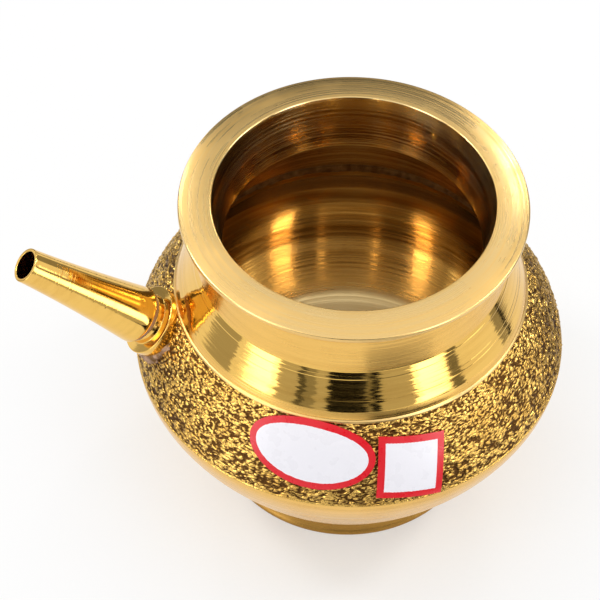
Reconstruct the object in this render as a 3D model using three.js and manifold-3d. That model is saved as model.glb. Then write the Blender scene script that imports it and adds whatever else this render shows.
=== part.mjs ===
// Karwa pot: a cast and turned brass water pot with a screw-on spout.
// Millimetres, +Z up. The pot stands on z = 0 and its spout points along -X.
import * as THREE from 'three';
import { mergeVertices } from 'three/addons/utils/BufferGeometryUtils.js';
import Module from 'manifold-3d';

const wasm = await Module();
wasm.setup();

// Heights, stacked from the table up
const FOOT_HEIGHT = 6.5;
const BOWL_HEIGHT = 38.7;
const BAND_HEIGHT = 21.8;
const SHOULDER_HEIGHT = 13.3;
const NECK_HEIGHT = 17.2;
const RIM_EDGE = 1.6;
const RIM_FALL = 0.9;

// Radii, stacked from the mouth out
const MOUTH_RADIUS = 37.3;
const RIM_WIDTH = 8.7;
const NECK_WALL = 3.3;
const NECK_FLARE = 0.9;
const SHOULDER_SPREAD = 6.0;
const BAND_SPREAD = 11.5;
const BOWL_FOOT_INSET = 21.3;

// How full the band and the bowl are drawn, as shares of their own spread and height
const BAND_TOP_OUT = 0.33;
const BAND_TOP_DROP = 0.15;
const BAND_BELLY_RISE = 0.27;
const BOWL_BELLY_DROP = 0.21;
const BOWL_FOOT_OUT = 0.45;
const BOWL_FOOT_RISE = 0.33;

// Where along the band and the bowl the inner wall starts, and where the bowl's floor starts
const BAND_WALL_START = 0.15;
const BOWL_WALL_START = 0.08;
const BOWL_FLOOR_START = 0.82;

// Walls, and the turned land inside the neck
const SHELL_WALL = 3.4;
const LIP_WALL = 1.7;
const BOWL_WALL = 3.4;
const FLOOR_WALL = 4.6;
const LAND_TAPER = 2.8;
const LAND_RISE = 3.7;
const LAND_EDGE = 0.8;

// The lap where the bowl's lip stands inside the upper shell, and its braze
const LAP_HEIGHT = 16.0;
const BEAD_WIDTH = 1.5;
const BEAD_HEIGHT = 1.4;
const BEAD_CROWN = 0.85;

// Rounds and fillets, and the plain upright border under the shoulder
const RIM_ROUND = 0.7;
const RIM_FILLET = 3.0;
const BORDER_HEIGHT = 3.2;
const BORDER_SPREAD = 0.7;

// Foot ring
const FOOT_STEP = 0.5;
const FOOT_WAIST = 1.3;
const FOOT_WALL = 5.2;
const FOOT_BEVEL = 0.5;
const REGISTER_DEPTH = 1.2;

// Spout, its collar and the screw joint between them
const SPOUT_TILT = THREE.MathUtils.degToRad(42.3);
const SPOUT_SEAT_DROP = 7.5;
const SPOUT_LENGTH = 38.7;
const SPOUT_BASE_RADIUS = 7.9;
const SPOUT_TIP_RADIUS = 4.66;
const SPOUT_BOW = 0.7;
const SPOUT_TIP_WALL = 0.9;
const SPOUT_BASE_ROUND = 0.9;
const SPOUT_TIP_ROUND = 0.3;
const SOCKET_RELIEF = 1.0;
const FLANGE_RADIUS = 9.6;
const FLANGE_THICKNESS = 2.9;
const FLANGE_BEVEL = 0.3;
const BARREL_RADIUS = 6.9;
const BARREL_LENGTH = 2.1;
const STUB_RADIUS = 5.6;
const STUB_LENGTH = 7.5;
const STUB_BEVEL = 0.7;
const TAIL_RADIUS = 5.0;
const TAIL_LENGTH = 9.0;
const WATERWAY_RADIUS = 3.8;
const WASHER_THICKNESS = 0.6;
const SKIRT_FLARE = 0.9;
const SKIRT_DEPTH = 4.6;

// Paper labels on the band
const LABEL_THICKNESS = 0.35;
const LABEL_DROP = 14.0;
const LABEL_SPACING = 0.5;
const SQUARE_SIDE = 17.7;
const SQUARE_TILT = THREE.MathUtils.degToRad(8.5);
const SQUARE_TURN = THREE.MathUtils.degToRad(-83.5);
const OVAL_LENGTH = 36.6;
const OVAL_HEIGHT = 17.2;
const OVAL_TILT = THREE.MathUtils.degToRad(15);
const OVAL_LIFT = 3.8;

// Gap between neighbours, and the facets of each round
const CLEARANCE = 0.3;
const POT_SIDES = 60;
const SPOUT_SIDES = 36;

// Places that follow from the sizes above
const bellyZ = FOOT_HEIGHT + BOWL_HEIGHT;
const shoulderZ = bellyZ + BAND_HEIGHT;
const creaseZ = shoulderZ + SHOULDER_HEIGHT;
const rimUnderZ = creaseZ + NECK_HEIGHT;
const rimEdgeZ = rimUnderZ + RIM_EDGE;
const rimRadius = MOUTH_RADIUS + RIM_WIDTH;
const neckRadius = MOUTH_RADIUS + NECK_WALL;
const creaseRadius = neckRadius + NECK_FLARE;
const shoulderRadius = creaseRadius + SHOULDER_SPREAD;
const borderRadius = shoulderRadius - BORDER_SPREAD;
const borderZ = shoulderZ + BORDER_HEIGHT;
const bellyRadius = shoulderRadius + BAND_SPREAD;
const bowlFootRadius = bellyRadius - BOWL_FOOT_INSET;
const footRadius = bowlFootRadius - FOOT_STEP;
const footInnerRadius = footRadius - FOOT_WALL;
const floorZ = FOOT_HEIGHT - REGISTER_DEPTH + FLOOR_WALL;
const barrelEnd = FLANGE_THICKNESS + BARREL_LENGTH;
const washerStart = barrelEnd + CLEARANCE;
const spoutStart = washerStart + WASHER_THICKNESS + CLEARANCE;

// The pot's outside, drawn downwards in the plane of radius and height
const bandCurve = new THREE.CubicBezierCurve(
  new THREE.Vector2(shoulderRadius, shoulderZ),
  new THREE.Vector2(shoulderRadius + BAND_TOP_OUT * BAND_SPREAD, shoulderZ - BAND_TOP_DROP * BAND_HEIGHT),
  new THREE.Vector2(bellyRadius, bellyZ + BAND_BELLY_RISE * BAND_HEIGHT),
  new THREE.Vector2(bellyRadius, bellyZ),
);
const bowlCurve = new THREE.CubicBezierCurve(
  new THREE.Vector2(bellyRadius, bellyZ),
  new THREE.Vector2(bellyRadius, bellyZ - BOWL_BELLY_DROP * BOWL_HEIGHT),
  new THREE.Vector2(bowlFootRadius + BOWL_FOOT_OUT * BOWL_FOOT_INSET, FOOT_HEIGHT + BOWL_FOOT_RISE * BOWL_HEIGHT),
  new THREE.Vector2(bowlFootRadius, FOOT_HEIGHT),
);
const bodyCurve = new THREE.CurvePath();
bodyCurve.add(bandCurve);
bodyCurve.add(bowlCurve);

// Turn a profile of [radius, height] pairs about the Z axis
function revolve(profile, sides) {
  const points = profile.map(([radius, height]) => new THREE.Vector2(radius, height));
  return new THREE.LatheGeometry(points, sides).rotateX(Math.PI / 2);
}

// Turn the section of a ring, which closes on itself
function revolveRing(section, sides) {
  return revolve([...section, section[0]], sides);
}

// Closed mesh to solid: only its positions are kept, and corners that meet are shared
function toSolid(geometry) {
  const bare = new THREE.BufferGeometry();
  bare.setAttribute('position', geometry.getAttribute('position'));
  bare.setIndex(geometry.getIndex());
  const merged = mergeVertices(bare, 1e-4);
  const index = merged.getIndex().array;
  const corners = [];
  for (let i = 0; i < index.length; i += 3) {
    const [a, b, c] = [index[i], index[i + 1], index[i + 2]];
    if (a !== b && b !== c && c !== a) corners.push(a, b, c);
  }
  return new wasm.Manifold(new wasm.Mesh({
    numProp: 3,
    vertProperties: Float32Array.from(merged.getAttribute('position').array),
    triVerts: Uint32Array.from(corners),
  }));
}

// Solid back to a mesh geometry
function toGeometry(solid) {
  const mesh = solid.getMesh();
  const geometry = new THREE.BufferGeometry();
  geometry.setAttribute('position', new THREE.BufferAttribute(mesh.vertProperties, mesh.numProp));
  geometry.setIndex(new THREE.BufferAttribute(mesh.triVerts, 1));
  geometry.computeVertexNormals();
  return geometry;
}

// A point of a curve, moved into the wall by depth and back up the curve by rise
function inWall(curve, t, depth, rise = 0) {
  const point = curve.getPoint(t);
  const along = curve.getTangent(t);
  return [point.x + along.y * depth - along.x * rise, point.y - along.x * depth - along.y * rise];
}

// Points along a curve at a depth, which may change from its start to its end
function wallLine(curve, steps, from, to, startDepth, endDepth = startDepth) {
  const points = [];
  for (let i = 0; i <= steps; i += 1) {
    const share = i / steps;
    const t = THREE.MathUtils.lerp(from, to, share);
    points.push(inWall(curve, t, THREE.MathUtils.lerp(startDepth, endDepth, share)));
  }
  return points;
}

// Points of an arc about a centre
function arc(centre, radius, startDegrees, endDegrees, steps) {
  const points = [];
  for (let i = 0; i <= steps; i += 1) {
    const angle = THREE.MathUtils.degToRad(THREE.MathUtils.lerp(startDegrees, endDegrees, i / steps));
    points.push([centre[0] + radius * Math.cos(angle), centre[1] + radius * Math.sin(angle)]);
  }
  return points;
}

// Where the band is at a height, as the curve's own parameter
function bandAtHeight(height) {
  let low = 0;
  let high = 1;
  for (let i = 0; i < 40; i += 1) {
    const middle = (low + high) / 2;
    if (bandCurve.getPoint(middle).y > height) low = middle;
    else high = middle;
  }
  return low;
}
const lapStart = bandAtHeight(bellyZ + LAP_HEIGHT);

// The spout's seat on the band: its own +Z runs out along the spout
const seatPoint = bandCurve.getPoint(bandAtHeight(shoulderZ - SPOUT_SEAT_DROP));
const seat = new THREE.Group();
seat.position.set(-seatPoint.x, 0, seatPoint.y);
seat.rotation.y = SPOUT_TILT - Math.PI / 2;
seat.updateMatrix();

// The hole drilled through both shells for the collar's tail
function drill() {
  const radius = TAIL_RADIUS + CLEARANCE;
  const inner = -TAIL_LENGTH - FLANGE_THICKNESS;
  const outer = FLANGE_RADIUS;
  const rod = revolve([[0, inner], [radius, inner], [radius, outer], [0, outer]], SPOUT_SIDES);
  return toSolid(rod.applyMatrix4(seat.matrix));
}

// The pot's outside grown by a clearance, as the spout's seat sees it
function grownBody() {
  const section = [
    [0, FOOT_HEIGHT],
    ...wallLine(bowlCurve, 9, 1, 0, -CLEARANCE),
    ...wallLine(bandCurve, 12, 1, 0, -CLEARANCE).slice(1),
    [borderRadius + CLEARANCE, borderZ],
    [creaseRadius + CLEARANCE, creaseZ],
    [0, creaseZ],
  ];
  return toSolid(revolve(section, POT_SIDES).applyMatrix4(seat.matrix.clone().invert()));
}

// Upper shell: textured band, shoulder, neck and flat rim in one casting
function upperShell() {
  const coneAngle = Math.atan2(SHOULDER_HEIGHT, SHOULDER_SPREAD);
  const inset = [SHELL_WALL * Math.sin(coneAngle), SHELL_WALL * Math.cos(coneAngle)];
  const landRadius = MOUTH_RADIUS - LAND_TAPER;
  const landZ = creaseZ + LAND_RISE;
  const coneZ = landZ - LAND_EDGE;
  const coneRadius = creaseRadius - inset[0] - (coneZ - creaseZ + inset[1]) / Math.tan(coneAngle);
  const outside = [
    ...wallLine(bandCurve, 11, 1, 0, 0),
    [borderRadius, borderZ],
    [creaseRadius, creaseZ],
    [neckRadius, creaseZ + NECK_HEIGHT / 2],
    ...arc([neckRadius + RIM_FILLET, rimUnderZ - RIM_FILLET], RIM_FILLET, 180, 90, 3),
    ...arc([rimRadius - RIM_ROUND, rimUnderZ + RIM_ROUND], RIM_ROUND, -90, 0, 2),
    [rimRadius, rimEdgeZ - RIM_ROUND / 2],
    [rimRadius - RIM_ROUND / 2, rimEdgeZ],
  ];
  const inside = [
    [MOUTH_RADIUS, rimEdgeZ + RIM_FALL],
    [landRadius, landZ],
    [Math.max(coneRadius, landRadius), coneZ],
    [shoulderRadius - inset[0], shoulderZ - inset[1]],
    ...wallLine(bandCurve, 8, BAND_WALL_START, 1, SHELL_WALL),
  ];
  return toGeometry(toSolid(revolveRing([...outside, ...inside], POT_SIDES)).subtract(drill()));
}

// Lower shell: bowl with a register under its floor and a lip that stands up inside the band
function lowerShell() {
  const lipOuter = SHELL_WALL + CLEARANCE;
  const lipInner = lipOuter + LIP_WALL;
  const wallFoot = new THREE.Vector2(...inWall(bowlCurve, BOWL_FLOOR_START, BOWL_WALL));
  const along = bowlCurve.getTangent(BOWL_FLOOR_START);
  const reach = (wallFoot.y - floorZ) / -along.y;
  const floorCurve = new THREE.QuadraticBezierCurve(
    wallFoot,
    new THREE.Vector2(wallFoot.x + along.x * reach, floorZ),
    new THREE.Vector2(0, floorZ),
  );
  const registerRadius = footInnerRadius - CLEARANCE;
  const section = [
    [0, FOOT_HEIGHT - REGISTER_DEPTH],
    [registerRadius, FOOT_HEIGHT - REGISTER_DEPTH],
    [registerRadius, FOOT_HEIGHT],
    ...wallLine(bowlCurve, 10, 1, 0, 0),
    ...wallLine(bandCurve, 5, 1, lapStart, lipOuter),
    ...wallLine(bandCurve, 5, lapStart, 1, lipInner),
    ...wallLine(bowlCurve, 8, BOWL_WALL_START, BOWL_FLOOR_START, lipInner, BOWL_WALL),
    ...floorCurve.getPoints(5).slice(1).map((point) => [point.x, point.y]),
  ];
  return toGeometry(toSolid(revolve(section, POT_SIDES)).subtract(drill()));
}

// Braze bead in the corner between the lip's top and the upper shell's wall
function seamBraze() {
  const start = SHELL_WALL + CLEARANCE;
  const section = [
    inWall(bandCurve, lapStart, start, CLEARANCE + BEAD_HEIGHT),
    inWall(bandCurve, lapStart, start + BEAD_WIDTH / 2, CLEARANCE + BEAD_CROWN),
    inWall(bandCurve, lapStart, start + BEAD_WIDTH, CLEARANCE),
    inWall(bandCurve, lapStart, start, CLEARANCE),
  ];
  return toGeometry(toSolid(revolveRing(section, POT_SIDES)).subtract(drill()));
}

// Foot ring: waisted outside, flat underside, seated on the bowl round its register
function footRing() {
  const section = [
    [footInnerRadius + FOOT_BEVEL, 0],
    [footRadius - FOOT_BEVEL, 0],
    [footRadius, FOOT_BEVEL],
    [footRadius - FOOT_WAIST, FOOT_HEIGHT / 2],
    [footRadius - FOOT_WAIST / 2, FOOT_HEIGHT],
    [footInnerRadius, FOOT_HEIGHT],
    [footInnerRadius, FOOT_BEVEL],
  ];
  return revolveRing(section, POT_SIDES);
}

// Spout collar: tail through the wall, flange saddled on the band, barrel and screw stub
function spoutCollar() {
  const stubEnd = barrelEnd + STUB_LENGTH;
  const head = revolveRing([
    [WATERWAY_RADIUS, 0],
    [FLANGE_RADIUS, 0],
    [FLANGE_RADIUS, FLANGE_THICKNESS - FLANGE_BEVEL],
    [FLANGE_RADIUS - FLANGE_BEVEL, FLANGE_THICKNESS],
    [BARREL_RADIUS, FLANGE_THICKNESS],
    [BARREL_RADIUS, barrelEnd],
    [STUB_RADIUS, barrelEnd],
    [STUB_RADIUS, stubEnd - STUB_BEVEL],
    [STUB_RADIUS - STUB_BEVEL, stubEnd],
    [WATERWAY_RADIUS, stubEnd],
  ], SPOUT_SIDES);
  const tail = revolveRing([
    [WATERWAY_RADIUS, -TAIL_LENGTH],
    [TAIL_RADIUS, -TAIL_LENGTH],
    [TAIL_RADIUS, barrelEnd / 2],
    [WATERWAY_RADIUS, barrelEnd / 2],
  ], SPOUT_SIDES);
  return toGeometry(toSolid(head).subtract(grownBody()).add(toSolid(tail)));
}

// Braze that fills the wedge between the flange's back and the band
function collarBraze() {
  const skirt = revolveRing([
    [TAIL_RADIUS + CLEARANCE, -SKIRT_DEPTH],
    [FLANGE_RADIUS + SKIRT_FLARE, -SKIRT_DEPTH],
    [FLANGE_RADIUS, -CLEARANCE],
    [TAIL_RADIUS + CLEARANCE, -CLEARANCE],
  ], SPOUT_SIDES);
  return toGeometry(toSolid(skirt).subtract(grownBody()));
}

// Fibre washer between the barrel's end and the spout's end
function sealingWasher() {
  return revolveRing([
    [STUB_RADIUS + CLEARANCE, washerStart],
    [BARREL_RADIUS, washerStart],
    [BARREL_RADIUS, washerStart + WASHER_THICKNESS],
    [STUB_RADIUS + CLEARANCE, washerStart + WASHER_THICKNESS],
  ], SPOUT_SIDES);
}

// Spout: tapered tube with a rounded base, a socket for the stub and a thin open tip
function spout() {
  const tipEnd = spoutStart + SPOUT_LENGTH;
  const socketEnd = barrelEnd + STUB_LENGTH + SOCKET_RELIEF;
  const socketRadius = STUB_RADIUS + CLEARANCE;
  const tipBore = SPOUT_TIP_RADIUS - SPOUT_TIP_WALL;
  const roundStart = spoutStart + SPOUT_BASE_ROUND;
  const outerCurve = new THREE.QuadraticBezierCurve(
    new THREE.Vector2(SPOUT_BASE_RADIUS, roundStart),
    new THREE.Vector2((SPOUT_BASE_RADIUS + SPOUT_TIP_RADIUS) / 2 - SPOUT_BOW, (roundStart + tipEnd) / 2),
    new THREE.Vector2(SPOUT_TIP_RADIUS, tipEnd - SPOUT_TIP_ROUND),
  );
  return revolveRing([
    [socketRadius, spoutStart],
    ...arc([SPOUT_BASE_RADIUS - SPOUT_BASE_ROUND, roundStart], SPOUT_BASE_ROUND, -90, 0, 3).slice(0, -1),
    ...outerCurve.getPoints(6).map((point) => [point.x, point.y]),
    [SPOUT_TIP_RADIUS - SPOUT_TIP_ROUND, tipEnd],
    [tipBore, tipEnd],
    [socketRadius - SPOUT_TIP_WALL, socketEnd + SPOUT_TIP_WALL],
    [socketRadius, socketEnd],
  ], SPOUT_SIDES);
}

// Lay a label's own point on the band: x along the band, y up it, both turned by its tilt
function onBand([x, y], label, depth) {
  const across = x * Math.cos(label.tilt) + y * Math.sin(label.tilt);
  const up = y * Math.cos(label.tilt) - x * Math.sin(label.tilt);
  const [radius, height] = inWall(bodyCurve, (label.drop - up) / bodyCurve.getLength(), depth);
  const angle = label.turn + across / radius;
  return [radius * Math.cos(angle), radius * Math.sin(angle), height];
}

// A thin sheet laid on the band, from an outline round its own centre
function laidLabel(label, rings) {
  const count = label.outline.length;
  const surfaces = [-CLEARANCE - LABEL_THICKNESS, -CLEARANCE];
  const positions = [];
  for (const depth of surfaces) {
    positions.push(...onBand([0, 0], label, depth));
    for (let ring = 1; ring <= rings; ring += 1) {
      const share = ring / rings;
      for (const [x, y] of label.outline) positions.push(...onBand([x * share, y * share], label, depth));
    }
  }
  const back = 1 + rings * count;
  const faces = [];
  for (let i = 0; i < count; i += 1) {
    const next = (i + 1) % count;
    faces.push(0, 1 + i, 1 + next, back, back + 1 + next, back + 1 + i);
    for (let ring = 1; ring < rings; ring += 1) {
      const inner = 1 + (ring - 1) * count;
      const outer = 1 + ring * count;
      faces.push(inner + i, outer + i, outer + next, inner + i, outer + next, inner + next);
      faces.push(back + inner + i, back + outer + next, back + outer + i);
      faces.push(back + inner + i, back + inner + next, back + outer + next);
    }
    const edge = 1 + (rings - 1) * count;
    faces.push(edge + i, back + edge + i, back + edge + next, edge + i, back + edge + next, edge + next);
  }
  const geometry = new THREE.BufferGeometry();
  geometry.setAttribute('position', new THREE.Float32BufferAttribute(positions, 3));
  geometry.setIndex(faces);
  geometry.computeVertexNormals();
  return geometry;
}

// Square label, whose outline has the same steps along each side
function squareLabel() {
  const half = SQUARE_SIDE / 2;
  const steps = 8;
  const outline = [];
  for (let side = 0; side < 4; side += 1) {
    for (let i = 0; i < steps; i += 1) {
      const along = half * ((2 * i) / steps - 1);
      outline.push([[along, -half], [half, along], [-along, half], [-half, -along]][side]);
    }
  }
  return laidLabel({ outline, tilt: SQUARE_TILT, turn: SQUARE_TURN, drop: LABEL_DROP }, 4);
}

// Oval label, beside the square one
function ovalLabel() {
  const [halfLength, halfHeight] = [OVAL_LENGTH / 2, OVAL_HEIGHT / 2];
  const outline = new THREE.EllipseCurve(0, 0, halfLength, halfHeight).getPoints(36).slice(0, -1);
  const squareReach = SQUARE_SIDE / 2 / Math.cos(SQUARE_TILT);
  const ovalReach = Math.hypot(halfLength * Math.cos(OVAL_TILT), halfHeight * Math.sin(OVAL_TILT));
  const radius = bodyCurve.getPoint(LABEL_DROP / bodyCurve.getLength()).x;
  const turn = SQUARE_TURN - (squareReach + LABEL_SPACING + ovalReach) / radius;
  return laidLabel({
    outline: outline.map((point) => [point.x, point.y]),
    tilt: OVAL_TILT,
    turn,
    drop: LABEL_DROP - OVAL_LIFT,
  }, 4);
}

// Finishes: polished brass, braze left dull from the torch, washer fibre and printed paper
const brass = () => new THREE.MeshStandardMaterial({ color: 0xd9a441, roughness: 0.22, metalness: 1 });
const braze = () => new THREE.MeshStandardMaterial({ color: 0x9c7350, roughness: 0.6, metalness: 0.8 });
const fibre = () => new THREE.MeshStandardMaterial({ color: 0x6e3f22, roughness: 0.85, metalness: 0 });
const paper = () => new THREE.MeshStandardMaterial({ color: 0xd31022, roughness: 0.45, metalness: 0 });

function named(name, geometry, material) {
  const mesh = new THREE.Mesh(geometry, material);
  mesh.name = name;
  return mesh;
}

// Assembly: what rides on the spout's seat hangs in its group
seat.add(named('spout_collar', spoutCollar(), brass()));
seat.add(named('collar_braze', collarBraze(), braze()));
seat.add(named('sealing_washer', sealingWasher(), fibre()));
seat.add(named('spout', spout(), brass()));

const pot = new THREE.Group();
pot.add(named('upper_shell', upperShell(), brass()));
pot.add(named('lower_shell', lowerShell(), brass()));
pot.add(named('seam_braze', seamBraze(), braze()));
pot.add(named('foot_ring', footRing(), brass()));
pot.add(named('oval_label', ovalLabel(), paper()));
pot.add(named('square_label', squareLabel(), paper()));
pot.add(seat);

// The whole is centred along X over its own box, spout included
pot.updateMatrixWorld(true);
const centre = new THREE.Box3().setFromObject(pot, true).getCenter(new THREE.Vector3());
pot.position.x = -centre.x;

export default pot;
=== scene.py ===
"""Karwa pot: the dressed model of a turned brass water pot, with its finishes, stage and camera.

Every piece is drawn in metres in the CAD's own frame. The pot's sections are pairs of radius
and height; the spout's are pairs of radius and distance out along the spout.
"""

import math

import bmesh
import bpy
from bpy.props import FloatProperty, FloatVectorProperty, IntProperty, PointerProperty
from bpy.types import Operator, Panel, PropertyGroup
from mathutils import Matrix, Vector, noise
from mathutils.geometry import interpolate_bezier


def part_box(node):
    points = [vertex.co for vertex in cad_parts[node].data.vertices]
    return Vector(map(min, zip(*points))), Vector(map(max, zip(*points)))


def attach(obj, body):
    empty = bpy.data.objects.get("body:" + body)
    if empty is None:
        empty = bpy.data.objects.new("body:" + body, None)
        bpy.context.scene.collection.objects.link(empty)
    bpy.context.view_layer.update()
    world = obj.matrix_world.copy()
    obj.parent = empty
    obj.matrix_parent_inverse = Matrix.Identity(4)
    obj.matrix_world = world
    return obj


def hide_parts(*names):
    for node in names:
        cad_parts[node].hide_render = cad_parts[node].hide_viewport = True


bl_info = {
    "name": "Karwa Pot",
    "version": (1, 0, 0),
    "blender": (4, 5, 0),
    "location": "View3D > Sidebar > Karwa Pot",
    "description": "Dresses the packed solids of a brass water pot with a screw-on spout",
    "category": "Object",
}

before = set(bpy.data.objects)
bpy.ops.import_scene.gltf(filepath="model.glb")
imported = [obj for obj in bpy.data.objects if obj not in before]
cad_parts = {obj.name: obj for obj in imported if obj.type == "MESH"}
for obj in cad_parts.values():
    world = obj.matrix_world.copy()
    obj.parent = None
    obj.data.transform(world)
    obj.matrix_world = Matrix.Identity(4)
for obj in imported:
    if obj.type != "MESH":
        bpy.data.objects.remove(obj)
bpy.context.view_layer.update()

MM = 0.001
# A full turn is filled with copies of one spun sector, so every number of sides is a multiple.
SECTORS = 32
POT_SIDES, SEAM_SIDES, SPOUT_SIDES, COLLAR_SIDES, DRILL_SIDES = 256, 512, 160, 128, 64
# Edges that turn by more than this are shown sharp.
SHARP = math.radians(32)
# How far the handles of a rounding reach towards its corner.
ROUNDNESS = 0.55
# The inner corners of the band's and the bowl's curves, as shares of their spread and height.
BAND_TOP, BAND_LOW = (0.33, 0.15), 0.27
BOWL_TOP, BOWL_LOW = 0.21, (0.45, 0.33)
# How far the foot ring stands in from the bowl's edge.
FOOT_STEP = 0.5 * MM
# The bead at the shoulder's edge: how far each corner is out and up from the edge, and its
# rounding, in millimetres.
SHOULDER_BEAD = ((-0.6, -0.2, 0), (0.5, -0.25, 0.1), (0.4, 0.2, 0.2), (-0.1, 0.5, 0.1))
# The braze at the lip: how far each corner is into the pot and up from the lip, in millimetres.
SEAM_BEAD = ((0, 0.9), (0.35, 0.7), (0.8, 0.35), (1.1, 0.1), (1.4, -0.4), (0, -0.4))
# The bark's noise takes its place from the clock unless it is given a seed.
BARK_SEED = 7
# What each part adds to the bark's height, and the height that lies level with the band.
BARK_BASE, BARK_CREVICE, BARK_LUMPS, BARK_TILT, BARK_LEVEL = 0.2, 0.5, 0.34, 0.22, 0.8
# How far down the band a point is, from its height and its radius.
DOWN_BY_HEIGHT, DOWN_BY_RADIUS = 0.85, 0.55
# The camera: its turn, rise and roll in degrees, its distance from the rim's centre and how far
# it looks to the left of it and below it in millimetres, and its lens and sensor.
CAMERA_TURN, CAMERA_RISE, CAMERA_ROLL = -10.07, 50.327, -0.8
CAMERA_BACK, CAMERA_LEFT, CAMERA_DOWN = 644, 14.04, 25.54
LENS, SENSOR, CLIP_START = 148.27, 36, 0.01

FOOT_LOW, FOOT_HIGH = (Vector(corner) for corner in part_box("foot_ring"))
POT_AXIS = Vector(((FOOT_LOW.x + FOOT_HIGH.x) / 2, (FOOT_LOW.y + FOOT_HIGH.y) / 2, 0))
POT_PLACE = Matrix.Translation(POT_AXIS)


def length(millimetres, name, description):
    """A length property, given in millimetres and kept in metres."""
    return FloatProperty(
        name=name, description=description, default=millimetres * MM, precision=5, unit="LENGTH"
    )


def amount(value, name, description):
    """A plain number of 0 or more."""
    return FloatProperty(name=name, description=description, default=value, min=0)


def angle(degrees, name, description):
    """An angle property, given in degrees and kept in radians."""
    return FloatProperty(
        name=name, description=description, default=math.radians(degrees), subtype="ANGLE"
    )


def colour(value, name, description):
    """A linear colour property."""
    return FloatVectorProperty(
        name=name, description=description, default=value, size=3, min=0, max=1, subtype="COLOR"
    )


class PotSizes(PropertyGroup):
    """Heights, radii and walls of the pot. All but the border's are also its solids'."""

    foot_height: length(6.5, "Foot height", "Height of the ring the pot stands on")
    bowl_height: length(38.7, "Bowl height", "From the foot ring up to the widest line")
    band_height: length(21.8, "Band height", "From the widest line up to the shoulder's edge")
    shoulder_height: length(13.3, "Shoulder height", "From the shoulder's edge up to the crease")
    neck_height: length(17.2, "Neck height", "From the crease up to the rim's underside")
    rim_edge: length(1.6, "Rim edge", "Thickness of the rim at its outer edge")
    rim_fall: length(0.9, "Rim fall", "How far the rim's top falls from mouth to edge")
    rim_fillet: length(3.0, "Rim fillet", "Rounding between the neck and the rim's underside")
    mouth_radius: length(37.3, "Mouth radius", "Radius of the open mouth")
    rim_width: length(8.7, "Rim width", "Width of the flat rim")
    neck_wall: length(3.3, "Neck wall", "Wall of the neck at the mouth")
    neck_flare: length(0.9, "Neck flare", "How far the neck widens down to the crease")
    shoulder_spread: length(6.0, "Shoulder spread", "How far the shoulder widens downwards")
    border_height: length(2.1, "Border height", "Height of the plain strip over the texture")
    border_spread: length(0.5, "Border spread", "How far the plain strip widens downwards")
    band_spread: length(11.5, "Band spread", "How far the band widens downwards")
    bowl_foot_inset: length(21.3, "Bowl inset", "How far the bowl draws in to the foot")
    shell_wall: length(3.4, "Shell wall", "Wall of the upper shell")
    lip_wall: length(1.7, "Lip wall", "Wall of the bowl's lip inside the band")
    bowl_wall: length(3.4, "Bowl wall", "Wall of the bowl")
    floor_wall: length(4.6, "Floor wall", "Thickness of the bowl's floor")
    land_taper: length(2.8, "Land taper", "How far the neck's inner wall draws in to its land")
    land_rise: length(3.7, "Land rise", "Height of the land over the crease")
    land_edge: length(0.8, "Land edge", "Height of the land's lower edge")
    lap_height: length(16.0, "Lap height", "How far the bowl's lip stands up inside the band")
    register_depth: length(1.2, "Register depth", "Depth of the step under the bowl's floor")
    foot_wall: length(5.2, "Foot wall", "Width of the foot ring's underside")
    foot_waist: length(1.3, "Foot waist", "How deep the foot ring is waisted")


class BarkSizes(PropertyGroup):
    """The cast bark texture on the band."""

    columns: IntProperty(name="Columns", description="Faces round the band", default=800)
    rows: IntProperty(name="Rows", description="Faces down the band", default=116)
    nugget_length: length(1.75, "Nugget length", "Typical length of one nugget round the pot")
    nugget: length(0.95, "Nugget width", "Typical width of one nugget down the band")
    depth: length(0.75, "Depth", "From the nuggets' tops to the crevices")
    border: length(0.5, "Border", "Strip where the texture fades out at each edge")
    backing: length(1.1, "Backing", "Depth of the plain wall under the texture")


class SpoutSizes(PropertyGroup):
    """The spout, its collar and the screw between them."""

    tilt: angle(42.3, "Tilt", "Angle of the spout above the level")
    seat_drop: length(7.5, "Seat drop", "Height of the seat below the shoulder's edge")
    spout_length: length(38.7, "Spout length", "From the base's end to the tip")
    base_radius: length(7.9, "Base radius", "Outer radius at the spout's base")
    base_round: length(0.9, "Base round", "Rounding of the spout's base")
    tip_radius: length(4.66, "Tip radius", "Outer radius at the spout's tip")
    bow: length(0.7, "Bow", "How far the taper is hollowed halfway")
    tip_wall: length(0.9, "Tip wall", "Wall of the tube at the tip")
    socket_relief: length(1.0, "Socket relief", "Room past the end of the screw")
    flange_radius: length(9.6, "Flange radius", "Radius of the collar's flange")
    flange_thickness: length(2.9, "Flange thickness", "Thickness of the collar's flange")
    barrel_radius: length(6.9, "Barrel radius", "Radius between the flange and the washer")
    barrel_length: length(2.1, "Barrel length", "Length between the flange and the washer")
    stub_radius: length(5.6, "Stub radius", "Radius over the screw's crests")
    stub_length: length(7.5, "Stub length", "Length of the screw")
    thread_pitch: length(1.5, "Thread pitch", "How far one turn moves the spout")
    thread_depth: length(0.75, "Thread depth", "From the screw's crests to its roots")
    waterway_radius: length(3.8, "Waterway radius", "Bore through the collar")
    tail_radius: length(5.0, "Tail radius", "Radius of the tail through the wall")
    tail_length: length(9.0, "Tail length", "How far the tail reaches into the pot")
    washer_thickness: length(0.6, "Washer thickness", "Thickness of the sealing washer")
    gap: length(0.3, "Gap", "Clearance between the screwed pieces")


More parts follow.
